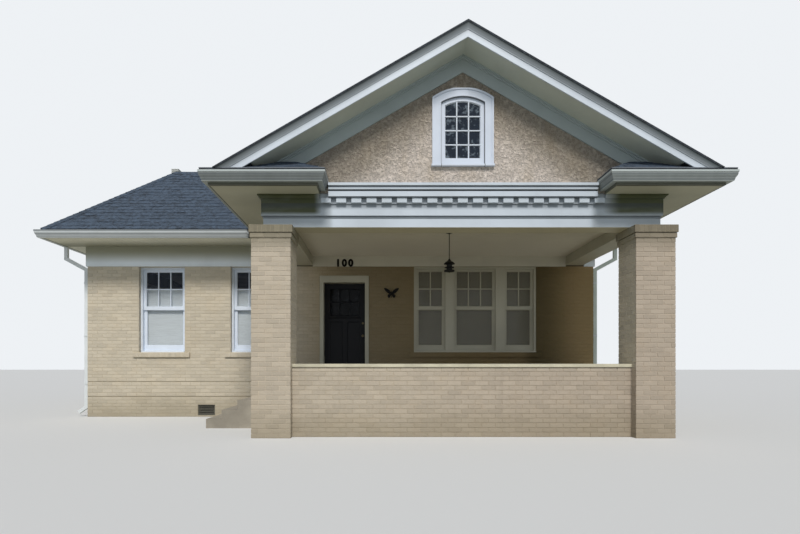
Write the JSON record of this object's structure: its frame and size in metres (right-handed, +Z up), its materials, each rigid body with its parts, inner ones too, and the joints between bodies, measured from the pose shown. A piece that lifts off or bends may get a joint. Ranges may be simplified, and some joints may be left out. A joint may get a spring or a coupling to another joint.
{
  "type": "bungalow",
  "caption": "One-storey brick bungalow with a steep hipped roof, a gabled front porch on two square piers, a dentil cornice and an arched gable window.",
  "frame": {"origin": "centre of the whole house's plan box, at ground level", "axes": "+Z up, -Y towards the street and the porch, +X to the right seen from the street"},
  "size_m": [12.18, 12.85, 6.145],
  "materials": {
    "brick": "matte",
    "trim": "satin",
    "gutter": "satin",
    "stucco": "matte",
    "shingles": "matte",
    "deck": "matte",
    "vent": "satin",
    "floor_boards": "satin",
    "plaster": "matte",
    "porch_paving": "matte",
    "cap_paint": "matte",
    "steps": "matte",
    "lantern": "satin",
    "glass": "polished",
    "shade": "matte",
    "door_paint": "satin",
    "threshold": "satin",
    "brass": "satin",
    "vent_paint": "matte"
  },
  "bodies": {
    "house": {"front_wall_left": "brick", "front_wall_over_door": "brick", "front_wall_right": "brick", "left_wall": "brick", "right_wall": "brick", "back_wall": "brick", "main_floor": "floor_boards", "main_ceiling": "plaster", "frieze_boards": "trim", "porch_frieze": "trim", "main_soffit": "trim", "main_fascia": "trim", "main_gutter": "gutter", "downspout_left": "gutter", "downspout_right": "gutter", "main_roof": "shingles", "roof_deck": "deck", "roof_vent": "vent", "gable_roof": "shingles", "porch_foundation": "brick", "porch_low_wall": "brick", "porch_wall_cap": "cap_paint", "porch_floor": "porch_paving", "porch_steps": "steps", "pier_left": "brick", "pier_right": "brick", "front_beam": "trim", "side_beams": "trim", "bed_moulds": "trim", "dentils": "trim", "cornice": "trim", "porch_ceiling": "trim", "porch_lantern": "lantern", "gable_wall": "stucco", "rake_fascia": "trim", "rake_soffit": "trim", "rake_frieze": "trim", "return_soffits": "trim", "return_fascias": "trim", "return_roofs": "shingles", "porch_gutters": "gutter", "arched_casing": "trim", "arched_sash": "trim", "arched_glass": "glass", "window_frames": "trim", "window_sashes": "trim", "window_glass": "glass", "window_shades": "shade", "window_sills": "brick", "triple_frame": "trim", "triple_sashes": "trim", "triple_glass": "glass", "porch_shades": "shade", "door_frame": "trim", "door_threshold": "threshold", "crawl_vents": "vent_paint"},
    "door": {"front_door": "door_paint", "door_glass": "glass", "door_knob": "brass"}
  },
  "joints": [
    {"name": "front_door_hinge", "type": "hinge", "parent": "house", "child": "door", "pos_m": [-0.377, -2.316, 0.863], "axis": [0, 0, 1], "range_deg": [0, 100]}
  ]
}
